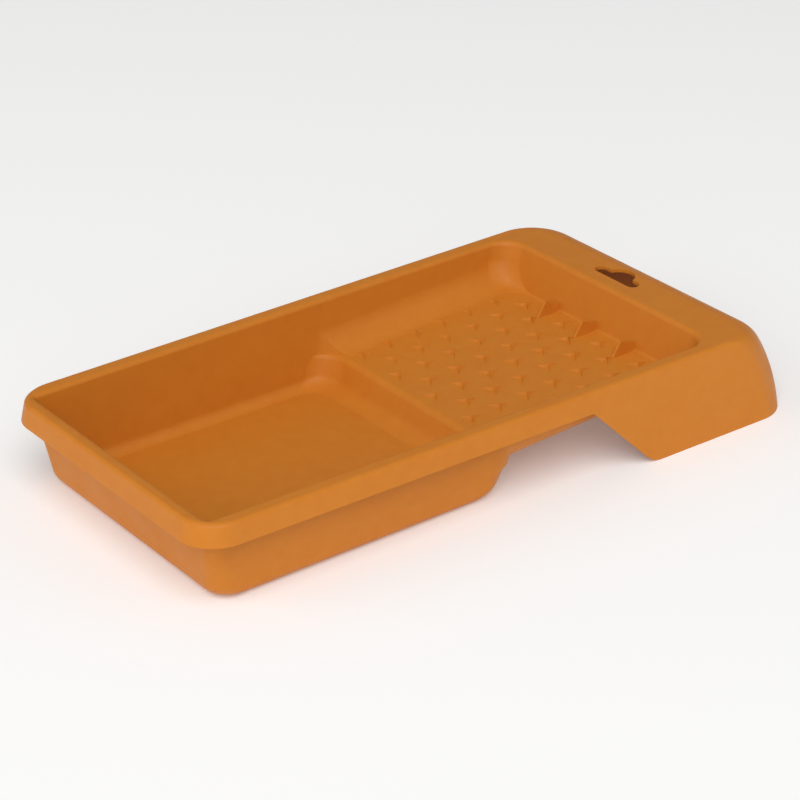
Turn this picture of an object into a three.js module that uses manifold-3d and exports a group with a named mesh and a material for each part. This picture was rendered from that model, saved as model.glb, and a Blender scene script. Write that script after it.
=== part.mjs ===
// Small paint roller tray: one thin-walled plastic moulding.
//
// Millimetres, +Z up. X runs along the tray from the paint well (-X) to the hanging end (+X),
// Y runs across it, and the origin is on the ground under the middle of the tray.
//
// The moulding is two skins that meet at the rim: a pan (well, step and ramp) and a cover (rim,
// lip, shelf, legs and rear skirt). Each skin is lofted through level outlines and then sawn
// into its named regions, with a narrow kerf between neighbours.

import * as THREE from 'three';
import { ConvexGeometry } from 'three/addons/geometries/ConvexGeometry.js';
import { mergeVertices } from 'three/addons/utils/BufferGeometryUtils.js';
import Module from 'manifold-3d';

const wasm = await Module();
wasm.setup();

const { clamp, degToRad, lerp } = THREE.MathUtils;

// ---- driving dimensions ------------------------------------------------------------------

const LENGTH = 320;
const WIDTH = 170;
const HEIGHT = 42;
const WALL = 1.6;
const KERF = 0.3;
const FRONT = -LENGTH / 2;
const REAR = LENGTH / 2;

// cover: the rim, its lip and the skirts share one drafted outer face, widest at the rear feet
const SKIRT_DRAFT = 0.155;
const PLAN_TAPER = 0.0135;
const FRONT_CORNER_RADIUS = 17;
const REAR_TOP_CORNER_RADIUS = 18.5;
const REAR_FOOT_CORNER_RADIUS = 20;
const RIM_EDGE_ROUND = 1.2;
const LIP_BOTTOM_Z = 32.2;
const WIDEST_X = REAR - REAR_FOOT_CORNER_RADIUS;
const RIM_HALF_WIDTH_AT_FRONT = WIDTH / 2 - SKIRT_DRAFT * HEIGHT - PLAN_TAPER * (WIDEST_X - FRONT);

// rear end, seen from the side: a tight bend off the shelf, then a long arc to the ground
const BEND_RADIUS = 16;
const BEND_END_ANGLE = degToRad(60);
const ARC_END_ANGLE = degToRad(87);

// legs, seen from the side: a slanted front edge from the lip down to a rounded foot
const LEG_TOP_X = 41;
const LEG_FOOT_X = 73;
const LEG_TOP_ROUND = 4;
const LEG_FOOT_ROUND = 11;

// pan: inside faces
const RIM_FRONT_WIDTH = 6.6;
const RIM_SIDE_WIDTH = 7.5;
const FLOOR_HALF_WIDTH = 65.5;
const WELL_FRONT_X = -145.4;
const WELL_FILLET = 5;
const WELL_FRONT_CORNER_RADIUS = 9;
const RIM_FRONT_CORNER_RADIUS = 2;
const WELL_REAR_CORNER_RADIUS = 12.5;
const BACK_LEAN = 18; // how far the well's hollow leans back over the ramp, crest to rim
const STEP_FOOT_X = -6.5;
const STEP_FILLET = 10;
const STEP_ANGLE = degToRad(66);
const CREST_ROUND = 4;
const CREST_Z = 15.8;
const RAMP_SLOPE = 0.0575;
const RAMP_SIDE_FILLET = 12;
const RAMP_END_FILLET = 1.2;
const RAMP_END_X = 111;
const RAMP_CORNER_RADIUS = 12;
const SHELF_FRONT_X = 116.7;
const RAMP_OVERLAP = 9; // how far the ramp's hollow reaches forward over the well

// pips: three-armed stars in rows across the ramp, every second row shifted half a pitch
const PIP_PITCH = 15.8;
const PIP_ROW_SPACING = 13.28;
const PIP_FIRST_X = 15.3;
const PIP_ROWS_EACH_SIDE = 4;
const PIPS_PER_ROW = 6;
const PIP_ARMS = 3;
const PIP_ARM = 5.8;
const PIP_WAIST = 1.1;
const PIP_HEIGHT = 1.7;

// gussets: narrow ribs against the ramp's end wall, in line with pip rows
const GUSSET_FRONT_X = 99.2;
const GUSSET_PEAK_X = 102.8;
const GUSSET_BASE_HALF_WIDTH = 1.2;
const GUSSET_CREST_HALF_WIDTH = 0.6;
const GUSSET_HEIGHT = 7;
const GUSSET_FALL = 0.38; // how steeply the crest falls back from its peak, against the ramp
const GUSSET_PLACES = [
  ['ramp_gusset_right', -2],
  ['ramp_gusset_middle', 0],
  ['ramp_gusset_left', 2],
];

// hanging slot in the shelf: a round-ended bar with a half-round bump towards the rear
const SLOT_CENTRE_Y = 4.6;
const SLOT_WIDTH = 28;
const SLOT_FRONT_X = 124.8;
const SLOT_BAR_DEPTH = 6.5;
const SLOT_DEPTH = 12.4;
const SLOT_BUMP_RADIUS = 7.5;

// saw cuts between the regions; the kerf is split evenly on both sides of a cut
const FRONT_CUT_X = -137;
const SIDE_CUT_Y = 57;
const STEP_CUT_X = -11;
const RAMP_CUT_X = 12;
const END_CUT_X = 108.8;
const CORNER_CUT_X = 112;
const SKIRT_CUT_X = 140;
const RIM_CUT_Z = HEIGHT - WALL - KERF;
const LIP_CUT_Z = LIP_BOTTOM_Z - KERF;

// facets
const CORNER_STEPS = 5;
const ARC_STEPS = 4;
const SLOT_STEPS = 8;
const PAST = 3; // how far a cutter runs past what it cuts

const PLASTIC = { color: 0xc47226, roughness: 0.42, metalness: 0 };

// ---- solids ------------------------------------------------------------------------------

function toSolid(geometry) {
  const bare = geometry.clone();
  bare.deleteAttribute('normal');
  bare.deleteAttribute('uv');
  const merged = mergeVertices(bare, 1e-4);
  const mesh = new wasm.Mesh({
    numProp: 3,
    vertProperties: new Float32Array(merged.attributes.position.array),
    triVerts: new Uint32Array(merged.index.array),
  });
  return new wasm.Manifold(mesh);
}

function toGeometry(solid) {
  const mesh = solid.getMesh();
  const geometry = new THREE.BufferGeometry();
  geometry.setAttribute('position', new THREE.BufferAttribute(mesh.vertProperties, 3));
  geometry.setIndex(new THREE.BufferAttribute(mesh.triVerts, 1));
  geometry.computeVertexNormals();
  return geometry;
}

// A closed loft through outlines that all have the same number of points, lowest first,
// each running anticlockwise seen from above.
function loft(outlines) {
  const count = outlines[0].length;
  const top = (outlines.length - 1) * count;
  const index = [];
  for (let base = 0; base < top; base += count) {
    for (let i = 0; i < count; i += 1) {
      const a = base + i;
      const b = base + ((i + 1) % count);
      index.push(a, b, b + count);
      index.push(a, b + count, a + count);
    }
  }
  for (let i = 1; i + 1 < count; i += 1) {
    index.push(0, i + 1, i);
    index.push(top, top + i, top + i + 1);
  }
  const geometry = new THREE.BufferGeometry();
  geometry.setAttribute('position', new THREE.Float32BufferAttribute(outlines.flat(2), 3));
  geometry.setIndex(index);
  return toSolid(geometry);
}

// A four-sided outline with round corners: halfWidthAt gives its half width at an x, and
// heightAt its z there.
function outline({ front, rear, frontRadius, rearRadius, halfWidthAt, heightAt }) {
  const corners = [
    { centreX: rear - rearRadius, side: 1, radius: rearRadius, start: 0 },
    { centreX: front + frontRadius, side: 1, radius: frontRadius, start: Math.PI / 2 },
    { centreX: front + frontRadius, side: -1, radius: frontRadius, start: Math.PI },
    { centreX: rear - rearRadius, side: -1, radius: rearRadius, start: -Math.PI / 2 },
  ];
  const points = [];
  for (const { centreX, side, radius, start } of corners) {
    for (let i = 0; i <= CORNER_STEPS; i += 1) {
      const angle = start + (Math.PI / 2) * (i / CORNER_STEPS);
      const x = centreX + radius * Math.cos(angle);
      const y = side * (halfWidthAt(x) - radius) + radius * Math.sin(angle);
      points.push([x, y, heightAt(x)]);
    }
  }
  return points;
}

// How far a quarter round stands in from its wall, at a distance from the face it runs into.
function filletInset(distance, radius) {
  const left = clamp(radius - distance, 0, radius);
  return radius - Math.sqrt(radius ** 2 - left ** 2);
}

// A pyramid over a flat base, whose outline runs anticlockwise seen from above. baseZ is the
// base's height under the apex.
function pyramid(base, apex, baseZ) {
  const count = base.length;
  const centre = [apex[0], apex[1], baseZ];
  const index = [];
  for (let i = 0; i < count; i += 1) {
    const next = (i + 1) % count;
    index.push(i, next, count);
    index.push(next, i, count + 1);
  }
  const geometry = new THREE.BufferGeometry();
  const corners = [...base, apex, centre].flat();
  geometry.setAttribute('position', new THREE.Float32BufferAttribute(corners, 3));
  geometry.setIndex(index);
  return toSolid(geometry);
}

// A prism of a shape drawn in X and Z, running right across the tray.
function sidePrism(shape) {
  const reach = WIDTH + 2 * PAST;
  const geometry = new THREE.ExtrudeGeometry(shape, {
    depth: reach,
    bevelEnabled: false,
    curveSegments: ARC_STEPS,
  });
  geometry.rotateX(Math.PI / 2);
  geometry.translate(0, reach / 2, 0);
  return toSolid(geometry);
}

// A saw box: half a kerf short of each of its limits.
function box(xs, ys, zs) {
  const size = [xs, ys, zs].map(([low, high]) => high - low - KERF);
  const middle = [xs, ys, zs].map(([low, high]) => (low + high) / 2);
  const geometry = new THREE.BoxGeometry(...size);
  geometry.translate(...middle);
  return toSolid(geometry);
}

// ---- cover skin --------------------------------------------------------------------------

function coverHalfWidth(x, z) {
  return RIM_HALF_WIDTH_AT_FRONT + PLAN_TAPER * (x - FRONT) + SKIRT_DRAFT * (HEIGHT - z);
}

// The rear end's side profile from the ground up; angle is its slope, 0 where it is level.
function rearProfile() {
  const bendDrop = BEND_RADIUS * (1 - Math.cos(BEND_END_ANGLE));
  const arcRadius = (HEIGHT - bendDrop) / (Math.cos(BEND_END_ANGLE) - Math.cos(ARC_END_ANGLE));
  const profile = [];
  for (let i = 0; i <= ARC_STEPS; i += 1) {
    const angle = lerp(ARC_END_ANGLE, BEND_END_ANGLE, i / ARC_STEPS);
    const x = REAR - arcRadius * (Math.sin(ARC_END_ANGLE) - Math.sin(angle));
    profile.push({ angle, x, z: arcRadius * (Math.cos(angle) - Math.cos(ARC_END_ANGLE)) });
  }
  const bendStart = profile[ARC_STEPS];
  for (let i = 1; i <= ARC_STEPS; i += 1) {
    const angle = BEND_END_ANGLE * (1 - i / ARC_STEPS);
    const x = bendStart.x - BEND_RADIUS * (Math.sin(BEND_END_ANGLE) - Math.sin(angle));
    const z = bendStart.z + BEND_RADIUS * (Math.cos(angle) - Math.cos(BEND_END_ANGLE));
    profile.push({ angle, x, z });
  }
  return profile;
}

// The cover's outer block, or with an inset the hollow under it.
function coverBlock(inset) {
  const levels = rearProfile().map(({ angle, x, z }) => {
    const edge = filletInset(HEIGHT - z, RIM_EDGE_ROUND);
    const level = z - inset * Math.cos(angle);
    return outline({
      front: FRONT + SKIRT_DRAFT * (level - LIP_BOTTOM_Z) + inset + edge,
      rear: x - inset * Math.sin(angle),
      frontRadius: FRONT_CORNER_RADIUS - inset,
      rearRadius: lerp(REAR_FOOT_CORNER_RADIUS, REAR_TOP_CORNER_RADIUS, z / HEIGHT) - inset,
      halfWidthAt: (px) => coverHalfWidth(px, level) - inset - edge,
      heightAt: () => level,
    });
  });
  return loft(levels);
}

// Everything below the lip and in front of the legs.
function belowLip() {
  const slant = Math.atan2(LIP_BOTTOM_Z, LEG_FOOT_X - LEG_TOP_X);
  const footX = LEG_FOOT_X + LEG_FOOT_ROUND * Math.tan(slant / 2);
  const topX = LEG_TOP_X - LEG_TOP_ROUND * Math.tan(slant / 2);
  const topZ = LIP_BOTTOM_Z - LEG_TOP_ROUND;
  const down = -Math.PI / 2;
  const up = Math.PI / 2;
  const shape = new THREE.Shape();
  shape.moveTo(-LENGTH, -PAST);
  shape.lineTo(footX, -PAST);
  shape.absarc(footX, LEG_FOOT_ROUND, LEG_FOOT_ROUND, down, down - slant, true);
  shape.absarc(topX, topZ, LEG_TOP_ROUND, up - slant, up, false);
  shape.lineTo(-LENGTH, LIP_BOTTOM_Z);
  return sidePrism(shape);
}

function hangingSlot() {
  const endRadius = SLOT_BAR_DEPTH / 2;
  const barX = SLOT_FRONT_X + endRadius;
  const reach = SLOT_WIDTH / 2 - endRadius;
  const bumpX = SLOT_FRONT_X + SLOT_DEPTH - SLOT_BUMP_RADIUS;
  const bumpAngle = Math.acos((SLOT_FRONT_X + SLOT_BAR_DEPTH - bumpX) / SLOT_BUMP_RADIUS);
  const shape = new THREE.Shape();
  shape.absarc(barX, SLOT_CENTRE_Y - reach, endRadius, Math.PI, 2 * Math.PI, false);
  shape.absarc(bumpX, SLOT_CENTRE_Y, SLOT_BUMP_RADIUS, -bumpAngle, bumpAngle, false);
  shape.absarc(barX, SLOT_CENTRE_Y + reach, endRadius, 0, Math.PI, false);
  const geometry = new THREE.ExtrudeGeometry(shape, {
    depth: WALL + 2 * PAST,
    bevelEnabled: false,
    curveSegments: SLOT_STEPS,
  });
  geometry.translate(0, 0, HEIGHT - WALL - PAST);
  return toSolid(geometry);
}

// ---- pan skin ----------------------------------------------------------------------------

function rampZ(x) {
  return CREST_Z + RAMP_SLOPE * (x - crestX());
}

function panHalfWidth(x, z) {
  const rimInside = coverHalfWidth(x, HEIGHT) - RIM_SIDE_WIDTH;
  return lerp(FLOOR_HALF_WIDTH, rimInside, z / HEIGHT);
}

// The step's side profile from the well floor to the ramp; outset moves it into the material.
function stepProfile(outset) {
  const profile = [];
  const place = (angle, centre, radius) => {
    profile.push({ x: centre.x + radius * Math.sin(angle), z: centre.z - radius * Math.cos(angle) });
  };
  const rampAngle = Math.atan(RAMP_SLOPE);
  const foot = { x: STEP_FOOT_X, z: WALL + STEP_FILLET };
  for (let i = 0; i <= ARC_STEPS; i += 1) {
    place((STEP_ANGLE * i) / ARC_STEPS, foot, STEP_FILLET + outset);
  }
  const crest = {
    x: crestX() + CREST_ROUND * Math.sin(rampAngle),
    z: CREST_Z - CREST_ROUND * Math.cos(rampAngle),
  };
  for (let i = 0; i <= ARC_STEPS; i += 1) {
    place(lerp(STEP_ANGLE, rampAngle, i / ARC_STEPS), crest, outset - CREST_ROUND);
  }
  return profile;
}

// Where the rounded crest meets the ramp: up the foot fillet, the straight slant and the round.
function crestX() {
  const rampAngle = Math.atan(RAMP_SLOPE);
  const filletRise = STEP_FILLET * (1 - Math.cos(STEP_ANGLE));
  const roundRise = CREST_ROUND * (Math.cos(rampAngle) - Math.cos(STEP_ANGLE));
  const slantRise = CREST_Z - WALL - filletRise - roundRise;
  const filletRun = STEP_FILLET * Math.sin(STEP_ANGLE);
  const roundRun = CREST_ROUND * (Math.sin(STEP_ANGLE) - Math.sin(rampAngle));
  return STEP_FOOT_X + filletRun + slantRise / Math.tan(STEP_ANGLE) + roundRun;
}

function wellBlock(outset, topZ) {
  const floorZ = WALL - outset;
  const rimFrontInside = FRONT + SKIRT_DRAFT * (HEIGHT - LIP_BOTTOM_Z) + RIM_FRONT_WIDTH;
  const level = (rear, z) => {
    const inset = filletInset(z - floorZ, WELL_FILLET + outset) - outset;
    return outline({
      front: lerp(WELL_FRONT_X, rimFrontInside, z / HEIGHT) + inset,
      rear,
      frontRadius: lerp(WELL_FRONT_CORNER_RADIUS, RIM_FRONT_CORNER_RADIUS, z / HEIGHT) + outset,
      rearRadius: WELL_REAR_CORNER_RADIUS + outset,
      halfWidthAt: (x) => panHalfWidth(x, z) - inset,
      heightAt: () => z,
    });
  };
  const levels = stepProfile(outset).map(({ x, z }) => level(x, z));
  levels.push(level(crestX() + BACK_LEAN, topZ));
  return loft(levels);
}

function rampBlock(outset, topZ) {
  const endRise = HEIGHT - rampZ(RAMP_END_X);
  const level = (rise, flatZ) => {
    const heightAt = (x) => flatZ ?? rampZ(x) - outset + rise;
    const sideInset = filletInset(rise, RAMP_SIDE_FILLET + outset) - outset;
    const endInset = filletInset(rise, RAMP_END_FILLET + outset) - outset;
    return outline({
      front: crestX() - RAMP_OVERLAP,
      rear: lerp(RAMP_END_X, SHELF_FRONT_X, (rise - outset) / endRise) - endInset,
      frontRadius: KERF,
      rearRadius: RAMP_CORNER_RADIUS + outset,
      halfWidthAt: (x) => panHalfWidth(x, heightAt(x)) - sideInset,
      heightAt,
    });
  };
  const levels = [];
  const sideFillet = RAMP_SIDE_FILLET + outset;
  for (let i = 0; i <= ARC_STEPS; i += 1) {
    levels.push(level(sideFillet * (1 - Math.cos((Math.PI / 2) * (i / ARC_STEPS)))));
  }
  levels.push(level(topZ - rampZ(RAMP_END_X) + outset, topZ));
  return loft(levels);
}

function panBlock(outset, topZ) {
  return wellBlock(outset, topZ).add(rampBlock(outset, topZ));
}

// ---- ramp texture ------------------------------------------------------------------------

// A star of three crests that fall from the middle to the tips, one arm up the ramp. Its base
// is sunk into the ramp, so it is drawn a little larger than it shows.
function pip(x, y) {
  const sunk = WALL / 4;
  const spread = 1 + sunk / PIP_HEIGHT;
  const base = [];
  for (let i = 0; i < 2 * PIP_ARMS; i += 1) {
    const reach = spread * (i % 2 === 0 ? PIP_ARM : PIP_WAIST);
    const angle = (Math.PI / PIP_ARMS) * i;
    const px = x + reach * Math.cos(angle);
    base.push([px, y + reach * Math.sin(angle), rampZ(px) - sunk]);
  }
  return pyramid(base, [x, y, rampZ(x) + PIP_HEIGHT], rampZ(x) - sunk);
}

function rampPips() {
  const pips = [];
  for (let row = -PIP_ROWS_EACH_SIDE; row <= PIP_ROWS_EACH_SIDE; row += 1) {
    const shift = row % 2 === 0 ? 0 : PIP_PITCH / 2;
    for (let i = 0; i < PIPS_PER_ROW; i += 1) {
      pips.push(pip(PIP_FIRST_X + shift + i * PIP_PITCH, row * PIP_ROW_SPACING));
    }
  }
  return pips.reduce((joined, next) => joined.add(next));
}

// A rib that climbs to its peak and falls gently back to the end wall. It is drawn down to the
// ramp and on past the wall, and then cut a kerf short of both.
function gusset(row) {
  const y = row * PIP_ROW_SPACING;
  const across = (x, halfWidth, rise) => {
    const z = rampZ(x) + rise;
    return [new THREE.Vector3(x, y - halfWidth, z), new THREE.Vector3(x, y + halfWidth, z)];
  };
  const wallRise = GUSSET_HEIGHT - GUSSET_FALL * (SHELF_FRONT_X - GUSSET_PEAK_X);
  const rib = new ConvexGeometry([
    ...across(GUSSET_FRONT_X, GUSSET_CREST_HALF_WIDTH, 0),
    ...across(GUSSET_PEAK_X, GUSSET_BASE_HALF_WIDTH, 0),
    ...across(SHELF_FRONT_X, GUSSET_BASE_HALF_WIDTH, 0),
    ...across(GUSSET_PEAK_X, GUSSET_CREST_HALF_WIDTH, GUSSET_HEIGHT),
    ...across(SHELF_FRONT_X, GUSSET_CREST_HALF_WIDTH, wallRise),
  ]);
  return toSolid(rib).intersect(panBlock(-KERF, HEIGHT));
}

// ---- the tray ----------------------------------------------------------------------------

const ABOVE = HEIGHT + PAST;

const pan = panBlock(WALL, HEIGHT).subtract(panBlock(0, ABOVE)).add(rampPips());

const cover = coverBlock(0)
  .subtract(coverBlock(WALL))
  .subtract(belowLip())
  .subtract(panBlock(WALL + KERF, ABOVE))
  .subtract(hangingSlot());

const MIDDLE = [-SIDE_CUT_Y, SIDE_CUT_Y];
const LEFT = [SIDE_CUT_Y, WIDTH];
const RIGHT = [-WIDTH, -SIDE_CUT_Y];

const REGIONS = [
  ['well_floor', pan, { x: [FRONT_CUT_X, STEP_CUT_X], y: MIDDLE }],
  ['well_front_wall', pan, { x: [-LENGTH, FRONT_CUT_X], y: MIDDLE }],
  ['well_left_corner', pan, { x: [-LENGTH, FRONT_CUT_X], y: LEFT }],
  ['well_right_corner', pan, { x: [-LENGTH, FRONT_CUT_X], y: RIGHT }],
  ['well_left_wall', pan, { x: [FRONT_CUT_X, STEP_CUT_X], y: LEFT }],
  ['well_right_wall', pan, { x: [FRONT_CUT_X, STEP_CUT_X], y: RIGHT }],
  ['step_left_end', pan, { x: [STEP_CUT_X, RAMP_CUT_X], y: LEFT }],
  ['step_right_end', pan, { x: [STEP_CUT_X, RAMP_CUT_X], y: RIGHT }],
  ['well_step', pan, { x: [STEP_CUT_X, RAMP_CUT_X], y: MIDDLE }],
  ['ramp_panel', pan, { x: [RAMP_CUT_X, END_CUT_X], y: MIDDLE }],
  ['ramp_left_wall', pan, { x: [RAMP_CUT_X, LENGTH], y: LEFT }],
  ['ramp_right_wall', pan, { x: [RAMP_CUT_X, LENGTH], y: RIGHT }],
  ['ramp_end_wall', pan, { x: [END_CUT_X, LENGTH], y: MIDDLE }],
  ['front_rim', cover, { x: [-LENGTH, FRONT_CUT_X], y: MIDDLE }],
  ['front_left_corner', cover, { x: [-LENGTH, FRONT_CUT_X], y: LEFT }],
  ['front_right_corner', cover, { x: [-LENGTH, FRONT_CUT_X], y: RIGHT }],
  ['left_rim', cover, { x: [FRONT_CUT_X, CORNER_CUT_X], y: LEFT, z: [RIM_CUT_Z, ABOVE] }],
  ['right_rim', cover, { x: [FRONT_CUT_X, CORNER_CUT_X], y: RIGHT, z: [RIM_CUT_Z, ABOVE] }],
  ['left_lip', cover, { x: [FRONT_CUT_X, CORNER_CUT_X], y: LEFT, z: [LIP_CUT_Z, RIM_CUT_Z] }],
  ['right_lip', cover, { x: [FRONT_CUT_X, CORNER_CUT_X], y: RIGHT, z: [LIP_CUT_Z, RIM_CUT_Z] }],
  ['left_leg', cover, { x: [0, CORNER_CUT_X], y: LEFT, z: [-PAST, LIP_CUT_Z] }],
  ['right_leg', cover, { x: [0, CORNER_CUT_X], y: RIGHT, z: [-PAST, LIP_CUT_Z] }],
  ['hanging_shelf', cover, { x: [CORNER_CUT_X, SKIRT_CUT_X], y: MIDDLE }],
  ['rear_left_corner', cover, { x: [CORNER_CUT_X, LENGTH], y: LEFT }],
  ['rear_right_corner', cover, { x: [CORNER_CUT_X, LENGTH], y: RIGHT }],
  ['rear_skirt', cover, { x: [SKIRT_CUT_X, LENGTH], y: MIDDLE }],
];

const tray = new THREE.Group();

function addMesh(name, solid) {
  const mesh = new THREE.Mesh(toGeometry(solid), new THREE.MeshStandardMaterial(PLASTIC));
  mesh.name = name;
  tray.add(mesh);
}

for (const [name, skin, { x, y, z = [-PAST, ABOVE] }] of REGIONS) {
  addMesh(name, skin.intersect(box(x, y, z)));
}
for (const [name, row] of GUSSET_PLACES) {
  addMesh(name, gusset(row));
}

export default tray;
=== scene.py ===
"""The looks of a small paint roller tray: one seamless skin for its one plastic moulding.

Lengths are in millimetres until a mesh is finished, and +X runs from the well to the hanging end.
"""

import math

import bmesh
import bpy
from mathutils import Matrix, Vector


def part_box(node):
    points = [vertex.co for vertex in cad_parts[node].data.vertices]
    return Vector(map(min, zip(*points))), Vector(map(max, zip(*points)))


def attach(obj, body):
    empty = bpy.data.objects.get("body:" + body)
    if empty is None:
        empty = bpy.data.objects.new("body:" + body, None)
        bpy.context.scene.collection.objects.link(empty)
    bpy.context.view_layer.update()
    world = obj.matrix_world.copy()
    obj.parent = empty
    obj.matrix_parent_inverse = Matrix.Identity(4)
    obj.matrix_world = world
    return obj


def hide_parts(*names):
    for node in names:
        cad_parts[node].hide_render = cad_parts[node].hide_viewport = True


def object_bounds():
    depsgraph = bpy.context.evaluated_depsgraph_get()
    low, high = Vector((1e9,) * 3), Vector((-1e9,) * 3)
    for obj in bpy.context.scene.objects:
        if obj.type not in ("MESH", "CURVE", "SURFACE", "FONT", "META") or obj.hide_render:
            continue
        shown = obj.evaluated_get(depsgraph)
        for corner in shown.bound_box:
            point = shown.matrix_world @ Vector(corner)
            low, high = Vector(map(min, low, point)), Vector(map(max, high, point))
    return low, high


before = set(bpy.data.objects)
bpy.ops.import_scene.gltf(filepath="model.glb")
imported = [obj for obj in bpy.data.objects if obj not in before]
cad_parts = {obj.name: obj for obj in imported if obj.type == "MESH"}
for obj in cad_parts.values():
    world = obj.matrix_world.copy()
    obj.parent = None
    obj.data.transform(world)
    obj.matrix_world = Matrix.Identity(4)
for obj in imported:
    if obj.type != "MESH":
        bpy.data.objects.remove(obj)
CAD_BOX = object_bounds()

MM = 0.001

# ---- sizes taken from the frame ----------------------------------------------------------

LOW, HIGH = (Vector(corner) / MM for corner in CAD_BOX)
CENTRE = (CAD_BOX[0] + CAD_BOX[1]) / 2
FRONT, REAR = LOW.x, HIGH.x
WIDTH = HIGH.y - LOW.y
HEIGHT = HIGH.z
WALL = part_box("well_floor")[1].z / MM

# ---- cover: rim, lip, shelf, legs and rear skirt -----------------------------------------

SKIRT_DRAFT = 0.155
PLAN_TAPER = 0.0135
FRONT_CORNER_RADIUS = 17
REAR_TOP_CORNER_RADIUS = 18.5
REAR_FOOT_CORNER_RADIUS = 20
RIM_EDGE_ROUND = 1.9
RIM_INNER_ROUND = 2.2
LIP_BOTTOM_Z = 32.2
WIDEST_X = REAR - REAR_FOOT_CORNER_RADIUS
RIM_HALF_WIDTH_AT_FRONT = WIDTH / 2 - SKIRT_DRAFT * HEIGHT - PLAN_TAPER * (WIDEST_X - FRONT)

BEND_RADIUS = 16
BEND_END_ANGLE = math.radians(60)
ARC_END_ANGLE = math.radians(87)

LEG_TOP_X = 41
LEG_FOOT_X = 73
LEG_TOP_ROUND = 4
LEG_FOOT_ROUND = 11

SLOT_CENTRE_Y = 4.6
SLOT_WIDTH = 28
SLOT_FRONT_X = 124.8
SLOT_BAR_DEPTH = 6.5
SLOT_DEPTH = 12.4
SLOT_BUMP_RADIUS = 7.5

# ---- pan: well, step and ramp ------------------------------------------------------------

RIM_FRONT_WIDTH = 6.6
RIM_SIDE_WIDTH = 7.5
FLOOR_HALF_WIDTH = 65.5
WELL_FRONT_X = -145.4
WELL_FILLET = 5
WELL_FRONT_CORNER_RADIUS = 9
RIM_FRONT_CORNER_RADIUS = 2
WELL_REAR_CORNER_RADIUS = 12.5
STEP_FOOT_X = -6.5
STEP_FILLET = 10
STEP_ANGLE = math.radians(66)
CREST_ROUND = 4
CREST_Z = 15.8
RAMP_SLOPE = 0.0575
RAMP_ANGLE = math.atan(RAMP_SLOPE)
RAMP_SIDE_FILLET = 12
RAMP_END_FILLET = 1.2
RAMP_END_X = 111
RAMP_CORNER_RADIUS = 12
RAMP_OVERLAP = 9  # how far the hollow of the ramp reaches forward over the well
BACK_LEAN = 8  # how far the hollow of the well leans back over the ramp, crest to rim
SHELF_FRONT_X = 116.7

# ---- ramp texture ------------------------------------------------------------------------

PIP_PITCH = 15.8
PIP_ROW_SPACING = 13.28
PIP_FIRST_X = 15.3
PIP_ROWS_EACH_SIDE = 4
PIPS_PER_ROW = 6
PIP_ARMS = 3
PIP_ARM = 5.8
PIP_WAIST = 1.1
PIP_HEIGHT = 1.7
PIP_CREST_ROUND = 0.1

GUSSET_ROWS = (-2, 0, 2)
GUSSET_FRONT_X = 97.8
GUSSET_PEAK_X = 102.8
GUSSET_BASE_HALF_WIDTH = 1.2
GUSSET_CREST_HALF_WIDTH = 0.6
GUSSET_HEIGHT = 7
GUSSET_FALL = 0.38  # how steeply the crest falls back from its peak, against the ramp
GUSSET_CREST_ROUND = 0.4

# ---- fineness of the mesh ----------------------------------------------------------------

CORNER_STEPS = 14
ARC_STEPS = 12
CREST_STEPS = 2
EDGE_STEPS = 2
EDGE_ROUND = 0.3
CREASE_ANGLE = math.radians(28)
BROAD_FACE_WEIGHT = 100
PAST = 3  # how far a cutter runs past what it cuts
SUNK = WALL / 4  # how far the pips and gussets reach into the ramp

# ---- the camera and the studio, in metres ------------------------------------------------

CAMERA_AZIMUTH = math.radians(-37.57)
CAMERA_ELEVATION = math.radians(27.64)
CAMERA_DISTANCE = 1.1664
CAMERA_AIM = CENTRE + Vector((-0.0042, 0, -0.0003))
CAMERA_LENS = 117.83
FLOOR_SIZE = 8
FLOOR_COLOUR = (0.93, 0.93, 0.925, 1)
FLOOR_GLOW = 0.15
FLOOR_ROUGHNESS = 0.9
FLOOR_SPECULAR = 0.1
AMBIENT_STRENGTH = 0.25
SOFTBOX_SIZE = 3.6
SOFTBOX_DISTANCE = 4.4
# azimuth and elevation in degrees, and power in watts
SOFTBOXES = {
    "softbox_high": (-37, 55, 112),
    "softbox_low": (-37, 25, 38),
    "softbox_left": (-110, 25, 40),
    "softbox_right": (45, 25, 14),
}

# ---- the plastic -------------------------------------------------------------------------

ORANGE = (0.61, 0.203, 0.020)
DEEP_ORANGE = (0.585, 0.188, 0.018)
PALE_ORANGE = (0.65, 0.235, 0.027)
NOISE_LOW, NOISE_HIGH = 0.3, 0.7  # the range that most of the noise falls in
NOISE_ROUGHNESS = 0.55
CLOUD_SCALE = 14  # noise scales are in features per metre
CLOUD_STRETCH = (0.5, 1, 1)
MOTTLE_SCALE = 160
MOTTLE_MOST = 0.35
SHEEN_SCALE = 60
GLOSSIEST, DULLEST = 0.40, 0.52
GRAIN_SCALE = 1600
GRAIN_STRENGTH = 0.12
GRAIN_DEPTH = 0.05 * MM
PLASTIC_IOR = 1.49
PLASTIC_SPECULAR = 0.2
GLOW_THROUGH = 0.12
GLOW_REACH = (1.0, 0.35, 0.08)
GLOW_DEPTH = 1.2 * MM


# ---- solids ------------------------------------------------------------------------------


def lerp(start, end, share):
    return start + (end - start) * share


def arc(start, end, steps=ARC_STEPS):
    """The angles along an arc, both ends included."""
    return [lerp(start, end, i / steps) for i in range(steps + 1)]


def loft(name, rings):
    """A closed body through rings that all have the same number of points."""
    mesh = bmesh.new()
    loops = [[mesh.verts.new(point) for point in ring] for ring in rings]
    count = len(loops[0])
    for lower, upper in zip(loops, loops[1:]):
        for i in range(count):
            j = (i + 1) % count
            mesh.faces.new((lower[i], lower[j], upper[j], upper[i]))
    mesh.faces.new(loops[0])
    mesh.faces.new(loops[-1])
    return as_object(name, mesh)


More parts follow.
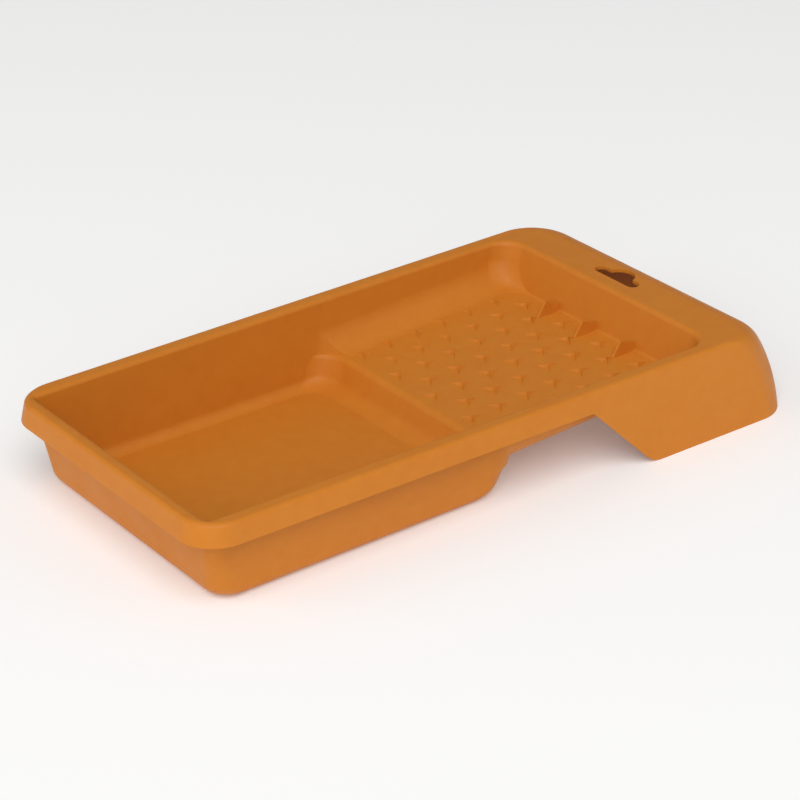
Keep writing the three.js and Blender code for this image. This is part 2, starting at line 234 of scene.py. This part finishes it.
def as_object(name, mesh):
    bmesh.ops.recalc_face_normals(mesh, faces=mesh.faces)
    data = bpy.data.meshes.new(name)
    mesh.to_mesh(data)
    mesh.free()
    made = bpy.data.objects.new(name, data)
    bpy.context.scene.collection.objects.link(made)
    return made


def combine(body, other, operation):
    """Joins other to body, or cuts it away, and removes it."""
    boolean = body.modifiers.new("boolean", "BOOLEAN")
    boolean.solver = "MANIFOLD"
    boolean.operation = operation
    boolean.object = other
    bake_modifiers(body)
    bpy.data.objects.remove(other)


def bake_modifiers(body):
    graph = bpy.context.evaluated_depsgraph_get()
    baked = bpy.data.meshes.new_from_object(body.evaluated_get(graph))
    body.modifiers.clear()
    body.data = baked


def outline(front, rear, front_radius, rear_radius, half_width_at, height_at):
    """A four-sided ring with round corners, anticlockwise from above."""
    quarter = math.pi / 2
    corners = (
        (rear - rear_radius, 1, rear_radius, 0),
        (front + front_radius, 1, front_radius, quarter),
        (front + front_radius, -1, front_radius, 2 * quarter),
        (rear - rear_radius, -1, rear_radius, 3 * quarter),
    )
    points = []
    for centre_x, side, radius, start in corners:
        for angle in arc(start, start + quarter, CORNER_STEPS):
            x = centre_x + radius * math.cos(angle)
            y = side * (half_width_at(x) - radius) + radius * math.sin(angle)
            points.append((x, y, height_at(x)))
    return points


def fillet_inset(distance, radius):
    """How far a quarter round stands in from its wall, at a distance from the face it meets."""
    left = min(max(radius - distance, 0), radius)
    return radius - math.sqrt(radius**2 - left**2)


# ---- cover skin --------------------------------------------------------------------------


def cover_half_width(x, z):
    return RIM_HALF_WIDTH_AT_FRONT + PLAN_TAPER * (x - FRONT) + SKIRT_DRAFT * (HEIGHT - z)


def rear_profile():
    """The rear end from the side, from the ground up: slope angle, x and z."""
    bend_drop = BEND_RADIUS * (1 - math.cos(BEND_END_ANGLE))
    arc_rise = math.cos(BEND_END_ANGLE) - math.cos(ARC_END_ANGLE)
    radius = (HEIGHT - bend_drop) / arc_rise
    profile = []
    for angle in arc(ARC_END_ANGLE, BEND_END_ANGLE):
        x = REAR - radius * (math.sin(ARC_END_ANGLE) - math.sin(angle))
        profile.append((angle, x, radius * (math.cos(angle) - math.cos(ARC_END_ANGLE))))
    _, bend_x, bend_z = profile[-1]
    for angle in arc(BEND_END_ANGLE, 0, 2 * ARC_STEPS)[1:]:
        x = bend_x - BEND_RADIUS * (math.sin(BEND_END_ANGLE) - math.sin(angle))
        profile.append((angle, x, bend_z + BEND_RADIUS * (math.cos(angle) - math.cos(BEND_END_ANGLE))))
    return profile


def cover_block(inset):
    """The cover's outer block, or with an inset the hollow under it."""
    rings = []
    for angle, x, z in rear_profile():
        edge = fillet_inset(HEIGHT - z, RIM_EDGE_ROUND)
        level = z - inset * math.cos(angle)
        rings.append(
            outline(
                front=FRONT + SKIRT_DRAFT * (level - LIP_BOTTOM_Z) + inset + edge,
                rear=x - inset * math.sin(angle),
                front_radius=FRONT_CORNER_RADIUS - inset,
                rear_radius=lerp(REAR_FOOT_CORNER_RADIUS, REAR_TOP_CORNER_RADIUS, z / HEIGHT) - inset,
                half_width_at=lambda px: cover_half_width(px, level) - inset - edge,
                height_at=lambda px: level,
            )
        )
    return loft("cover", rings)


def below_lip():
    """Everything below the lip and in front of the legs."""
    slant = math.atan2(LIP_BOTTOM_Z, LEG_FOOT_X - LEG_TOP_X)
    foot_x = LEG_FOOT_X + LEG_FOOT_ROUND * math.tan(slant / 2)
    top_x = LEG_TOP_X - LEG_TOP_ROUND * math.tan(slant / 2)
    ahead = FRONT - WIDTH
    side = [(ahead, -PAST), (foot_x, -PAST)]
    down = -math.pi / 2
    for angle in arc(down, down - slant):
        x = foot_x + LEG_FOOT_ROUND * math.cos(angle)
        side.append((x, LEG_FOOT_ROUND * (1 + math.sin(angle))))
    top_z = LIP_BOTTOM_Z - LEG_TOP_ROUND
    for angle in arc(math.pi / 2 - slant, math.pi / 2):
        side.append((top_x + LEG_TOP_ROUND * math.cos(angle), top_z + LEG_TOP_ROUND * math.sin(angle)))
    side.append((ahead, LIP_BOTTOM_Z))
    return loft("below_lip", [[(x, y, z) for x, z in side] for y in (-WIDTH, WIDTH)])


def hanging_slot():
    """A round-ended bar with a half-round bump towards the rear."""
    end_radius = SLOT_BAR_DEPTH / 2
    bar_x = SLOT_FRONT_X + end_radius
    reach = SLOT_WIDTH / 2 - end_radius
    bump_x = SLOT_FRONT_X + SLOT_DEPTH - SLOT_BUMP_RADIUS
    bump_angle = math.acos((SLOT_FRONT_X + SLOT_BAR_DEPTH - bump_x) / SLOT_BUMP_RADIUS)
    rounds = (
        (bar_x, -reach, end_radius, -math.pi, 0),
        (bump_x, 0, SLOT_BUMP_RADIUS, -bump_angle, bump_angle),
        (bar_x, reach, end_radius, 0, math.pi),
    )
    edge = []
    for centre_x, offset_y, radius, start, end in rounds:
        for angle in arc(start, end):
            y = SLOT_CENTRE_Y + offset_y + radius * math.sin(angle)
            edge.append((centre_x + radius * math.cos(angle), y))
    levels = (HEIGHT - WALL - PAST, HEIGHT + PAST)
    return loft("slot", [[(x, y, z) for x, y in edge] for z in levels])


# ---- pan skin ----------------------------------------------------------------------------


def crest_x():
    """Where the rounded crest meets the ramp."""
    fillet_rise = STEP_FILLET * (1 - math.cos(STEP_ANGLE))
    round_rise = CREST_ROUND * (math.cos(RAMP_ANGLE) - math.cos(STEP_ANGLE))
    slant_rise = CREST_Z - WALL - fillet_rise - round_rise
    fillet_run = STEP_FILLET * math.sin(STEP_ANGLE)
    round_run = CREST_ROUND * (math.sin(STEP_ANGLE) - math.sin(RAMP_ANGLE))
    return STEP_FOOT_X + fillet_run + slant_rise / math.tan(STEP_ANGLE) + round_run


def ramp_z(x):
    return CREST_Z + RAMP_SLOPE * (x - crest_x())


def pan_half_width(x, z):
    rim_inside = cover_half_width(x, HEIGHT) - RIM_SIDE_WIDTH
    return lerp(FLOOR_HALF_WIDTH, rim_inside, min(z, HEIGHT) / HEIGHT)


def step_profile(outset):
    """The step from the side, from the well floor to the ramp; outset moves it into the material."""
    foot_z = WALL + STEP_FILLET
    profile = []
    for angle in arc(0, STEP_ANGLE):
        reach = STEP_FILLET + outset
        profile.append((STEP_FOOT_X + reach * math.sin(angle), foot_z - reach * math.cos(angle)))
    top_x = crest_x() + CREST_ROUND * math.sin(RAMP_ANGLE)
    top_z = CREST_Z - CREST_ROUND * math.cos(RAMP_ANGLE)
    for angle in arc(STEP_ANGLE, RAMP_ANGLE):
        reach = outset - CREST_ROUND
        profile.append((top_x + reach * math.sin(angle), top_z - reach * math.cos(angle)))
    return profile


def rim_levels(top_z):
    """Heights just below the rim, where the pan's inside rounds over into it, and on to top_z."""
    heights = [HEIGHT - RIM_INNER_ROUND * math.cos(angle) for angle in arc(0, math.pi / 2)]
    return heights + [top_z]


def rim_flare(z):
    """How far the pan's inside opens where it rounds over into the rim."""
    return fillet_inset(HEIGHT - z, RIM_INNER_ROUND)


def well_block(outset, top_z, flared):
    floor_z = WALL - outset
    rim_front_inside = FRONT + SKIRT_DRAFT * (HEIGHT - LIP_BOTTOM_Z) + RIM_FRONT_WIDTH

    def ring(rear, z):
        flare = rim_flare(z) if flared else 0
        inset = fillet_inset(z - floor_z, WELL_FILLET + outset) - outset - flare
        share = min(z, HEIGHT) / HEIGHT
        return outline(
            front=lerp(WELL_FRONT_X, rim_front_inside, share) + inset,
            rear=rear,
            front_radius=lerp(WELL_FRONT_CORNER_RADIUS, RIM_FRONT_CORNER_RADIUS, share) + outset + flare,
            rear_radius=WELL_REAR_CORNER_RADIUS + outset,
            half_width_at=lambda x: pan_half_width(x, z) - inset,
            height_at=lambda x: z,
        )

    rings = [ring(x, z) for x, z in step_profile(outset)]
    back = crest_x() + BACK_LEAN
    heights = rim_levels(top_z) if flared else [top_z]
    return loft("well", rings + [ring(back, z) for z in heights])


def ramp_block(outset, top_z, flared):
    end_rise = HEIGHT - ramp_z(RAMP_END_X)

    def ring(rise, flat_z=None):
        def height_at(x):
            return ramp_z(x) - outset + rise if flat_z is None else flat_z

        flare = rim_flare(flat_z) if flared and flat_z is not None else 0
        side_inset = fillet_inset(rise, RAMP_SIDE_FILLET + outset) - outset - flare
        end_inset = fillet_inset(rise, RAMP_END_FILLET + outset) - outset - flare
        share = min((rise - outset) / end_rise, 1)
        return outline(
            front=crest_x() - RAMP_OVERLAP,
            rear=lerp(RAMP_END_X, SHELF_FRONT_X, share) - end_inset,
            front_radius=WALL / 2,
            rear_radius=RAMP_CORNER_RADIUS + outset + flare,
            half_width_at=lambda x: pan_half_width(x, height_at(x)) - side_inset,
            height_at=height_at,
        )

    side_fillet = RAMP_SIDE_FILLET + outset
    rings = [ring(side_fillet * (1 - math.cos(angle))) for angle in arc(0, math.pi / 2)]
    heights = rim_levels(top_z) if flared else [top_z]
    return loft("ramp", rings + [ring(z - ramp_z(RAMP_END_X) + outset, z) for z in heights])


# ---- ramp texture ------------------------------------------------------------------------


def round_crests(mesh, crests, offset):
    bmesh.ops.bevel(
        mesh, geom=crests, offset=offset, segments=CREST_STEPS, profile=0.5, affect="EDGES"
    )


def add_pip(mesh, x, y):
    """A star of three crests that fall from the middle to the tips, one arm up the ramp."""
    spread = 1 + SUNK / PIP_HEIGHT
    base = []
    for i in range(2 * PIP_ARMS):
        reach = spread * (PIP_WAIST if i % 2 else PIP_ARM)
        angle = math.pi / PIP_ARMS * i
        px = x + reach * math.cos(angle)
        base.append(mesh.verts.new((px, y + reach * math.sin(angle), ramp_z(px) - SUNK)))
    top = mesh.verts.new((x, y, ramp_z(x) + PIP_HEIGHT))
    for first, second in zip(base, base[1:] + base[:1]):
        mesh.faces.new((first, second, top))
    mesh.faces.new(base)
    round_crests(mesh, [mesh.edges.get((tip, top)) for tip in base[::2]], PIP_CREST_ROUND)


def pips():
    mesh = bmesh.new()
    for row in range(-PIP_ROWS_EACH_SIDE, PIP_ROWS_EACH_SIDE + 1):
        shift = PIP_PITCH / 2 if row % 2 else 0
        for i in range(PIPS_PER_ROW):
            add_pip(mesh, PIP_FIRST_X + shift + i * PIP_PITCH, row * PIP_ROW_SPACING)
    return as_object("pips", mesh)


def add_gusset(mesh, y):
    """A narrow rib that climbs to its peak and falls gently back to the end wall."""
    rear_x = RAMP_END_X + WALL / 2
    rear_rise = GUSSET_HEIGHT - GUSSET_FALL * (rear_x - GUSSET_PEAK_X)

    def across(x, half_width, rise):
        return [mesh.verts.new((x, y + side, ramp_z(x) + rise)) for side in (-half_width, half_width)]

    foot = across(GUSSET_FRONT_X, GUSSET_CREST_HALF_WIDTH, -SUNK)
    peak = across(GUSSET_PEAK_X, GUSSET_CREST_HALF_WIDTH, GUSSET_HEIGHT)
    back = across(rear_x, GUSSET_CREST_HALF_WIDTH, rear_rise)
    middle = across(GUSSET_PEAK_X, GUSSET_BASE_HALF_WIDTH, -SUNK)
    rear = across(rear_x, GUSSET_BASE_HALF_WIDTH, -SUNK)
    bmesh.ops.convex_hull(mesh, input=foot + peak + back + middle + rear)
    ends = [*zip(foot, peak), *zip(peak, back), tuple(peak)]
    round_crests(mesh, [mesh.edges.get(pair) for pair in ends], GUSSET_CREST_ROUND)


def gussets():
    mesh = bmesh.new()
    for row in GUSSET_ROWS:
        add_gusset(mesh, row * PIP_ROW_SPACING)
    return as_object("gussets", mesh)


# ---- the moulding ------------------------------------------------------------------------


def tray_moulding():
    body = cover_block(0)
    combine(body, cover_block(WALL), "DIFFERENCE")
    combine(body, below_lip(), "DIFFERENCE")
    under_rim = HEIGHT - WALL / 2
    over_rim = HEIGHT + PAST
    for block in (well_block, ramp_block):
        combine(body, block(WALL, under_rim, flared=False), "UNION")
    for block in (well_block, ramp_block):
        combine(body, block(0, over_rim, flared=True), "DIFFERENCE")
    combine(body, hanging_slot(), "DIFFERENCE")
    round_edges(body)
    combine(body, pips(), "UNION")
    combine(body, gussets(), "UNION")
    shade(body)
    body.name = body.data.name = "tray_moulding"
    return body


def round_edges(body):
    """Rounds every true edge of the skin."""
    rounding = body.modifiers.new("rounding", "BEVEL")
    rounding.width = EDGE_ROUND
    rounding.segments = EDGE_STEPS
    rounding.limit_method = "ANGLE"
    rounding.angle_limit = CREASE_ANGLE
    rounding.use_clamp_overlap = True
    bake_modifiers(body)


def shade(body):
    """Lets the broad faces set the shading of the rounds between them."""
    body.data.shade_smooth()
    body.data.set_sharp_from_angle(angle=CREASE_ANGLE)
    shading = body.modifiers.new("shading", "WEIGHTED_NORMAL")
    shading.keep_sharp = True
    shading.weight = BROAD_FACE_WEIGHT
    bake_modifiers(body)


# ---- materials ---------------------------------------------------------------------------


def new_material(name):
    """A node material, its node tree and its shader."""
    material = bpy.data.materials.new(name)
    material.use_nodes = True
    tree = material.node_tree
    return material, tree, tree.nodes["Principled BSDF"]


def noise(tree, scale, detail=3, stretch=(1, 1, 1)):
    """Solid noise over the object's own coordinates, in metres."""
    place = tree.nodes.new("ShaderNodeTexCoord")
    stretched = tree.nodes.new("ShaderNodeMapping")
    stretched.inputs["Scale"].default_value = stretch
    made = tree.nodes.new("ShaderNodeTexNoise")
    made.inputs["Scale"].default_value = scale
    made.inputs["Detail"].default_value = detail
    made.inputs["Roughness"].default_value = NOISE_ROUGHNESS
    tree.links.new(place.outputs["Object"], stretched.inputs["Vector"])
    tree.links.new(stretched.outputs["Vector"], made.inputs["Vector"])
    return made.outputs["Fac"]


def remap(tree, value, low, high):
    """Noise brought to a range of its own."""
    made = tree.nodes.new("ShaderNodeMapRange")
    made.inputs["From Min"].default_value = NOISE_LOW
    made.inputs["From Max"].default_value = NOISE_HIGH
    made.inputs["To Min"].default_value = low
    made.inputs["To Max"].default_value = high
    tree.links.new(value, made.inputs["Value"])
    return made.outputs["Result"]


def colour_socket(sockets, name):
    """The colour socket of that name; a mix node also has plain numbers under the same name."""
    return next(socket for socket in sockets if socket.name == name and socket.type == "RGBA")


def blend_colour(tree, factor, first, second):
    """Each of first and second is a colour or another node's colour."""
    made = tree.nodes.new("ShaderNodeMix")
    made.data_type = "RGBA"
    tree.links.new(factor, made.inputs["Factor"])
    for name, colour in (("A", first), ("B", second)):
        socket = colour_socket(made.inputs, name)
        if isinstance(colour, tuple):
            socket.default_value = (*colour, 1)
        else:
            tree.links.new(colour, socket)
    return colour_socket(made.outputs, "Result")


def orange_plastic():
    """Satin polypropylene: a fine moulded grain, faint flow clouds and a paler fine mottle."""
    material, tree, shader = new_material("orange_plastic")
    clouds = remap(tree, noise(tree, CLOUD_SCALE, stretch=CLOUD_STRETCH), 0, 1)
    mottle = remap(tree, noise(tree, MOTTLE_SCALE, detail=2), 0, MOTTLE_MOST)
    base = blend_colour(tree, clouds, DEEP_ORANGE, ORANGE)
    base = blend_colour(tree, mottle, base, PALE_ORANGE)
    tree.links.new(base, shader.inputs["Base Color"])
    sheen = remap(tree, noise(tree, SHEEN_SCALE), GLOSSIEST, DULLEST)
    tree.links.new(sheen, shader.inputs["Roughness"])
    grain = tree.nodes.new("ShaderNodeBump")
    grain.inputs["Strength"].default_value = GRAIN_STRENGTH
    grain.inputs["Distance"].default_value = GRAIN_DEPTH
    tree.links.new(noise(tree, GRAIN_SCALE, detail=2), grain.inputs["Height"])
    tree.links.new(grain.outputs["Normal"], shader.inputs["Normal"])
    shader.inputs["IOR"].default_value = PLASTIC_IOR
    shader.inputs["Specular IOR Level"].default_value = PLASTIC_SPECULAR
    shader.inputs["Subsurface Weight"].default_value = GLOW_THROUGH
    shader.inputs["Subsurface Radius"].default_value = GLOW_REACH
    shader.inputs["Subsurface Scale"].default_value = GLOW_DEPTH
    return material


def floor_material():
    material, _, shader = new_material("studio_floor")
    shader.inputs["Base Color"].default_value = FLOOR_COLOUR
    shader.inputs["Roughness"].default_value = FLOOR_ROUGHNESS
    shader.inputs["Specular IOR Level"].default_value = FLOOR_SPECULAR
    shader.inputs["Emission Color"].default_value = FLOOR_COLOUR
    shader.inputs["Emission Strength"].default_value = FLOOR_GLOW
    return material


# ---- the studio --------------------------------------------------------------------------


def toward(azimuth, elevation):
    """The direction from the object to a viewer; azimuth 0 is in front, on the -Y side."""
    level = math.cos(elevation)
    return Vector((math.sin(azimuth) * level, -math.cos(azimuth) * level, math.sin(elevation)))


def aim(thing, target, azimuth, elevation, distance):
    back = toward(azimuth, elevation)
    thing.location = target + back * distance
    thing.rotation_mode = "QUATERNION"
    thing.rotation_quaternion = (-back).to_track_quat("-Z", "Y")


def add_camera():
    camera = bpy.data.objects.new("camera", bpy.data.cameras.new("camera"))
    bpy.context.scene.collection.objects.link(camera)
    camera.data.lens = CAMERA_LENS
    aim(camera, CAMERA_AIM, CAMERA_AZIMUTH, CAMERA_ELEVATION, CAMERA_DISTANCE)
    bpy.context.scene.camera = camera


def add_softbox(name, azimuth, elevation, power):
    light = bpy.data.lights.new(name, "AREA")
    light.shape = "DISK"
    light.size = SOFTBOX_SIZE
    light.energy = power
    softbox = bpy.data.objects.new(name, light)
    bpy.context.scene.collection.objects.link(softbox)
    aim(softbox, CENTRE, math.radians(azimuth), math.radians(elevation), SOFTBOX_DISTANCE)


def add_studio():
    sheet = bmesh.new()
    bmesh.ops.create_grid(sheet, x_segments=1, y_segments=1, size=FLOOR_SIZE / 2)
    floor = as_object("studio_floor", sheet)
    floor.data.materials.append(floor_material())
    world = bpy.data.worlds.new("studio")
    world.use_nodes = True
    background = world.node_tree.nodes["Background"]
    background.inputs["Color"].default_value = (1, 1, 1, 1)
    background.inputs["Strength"].default_value = AMBIENT_STRENGTH
    bpy.context.scene.world = world
    for name, (azimuth, elevation, power) in SOFTBOXES.items():
        add_softbox(name, azimuth, elevation, power)
    bpy.context.scene.view_settings.view_transform = "Standard"


# ---- the scene ---------------------------------------------------------------------------

tray = tray_moulding()
for vertex in tray.data.vertices:
    vertex.co *= MM
tray.data.materials.clear()
tray.data.materials.append(orange_plastic())
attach(tray, "root")
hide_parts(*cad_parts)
add_camera()
add_studio()
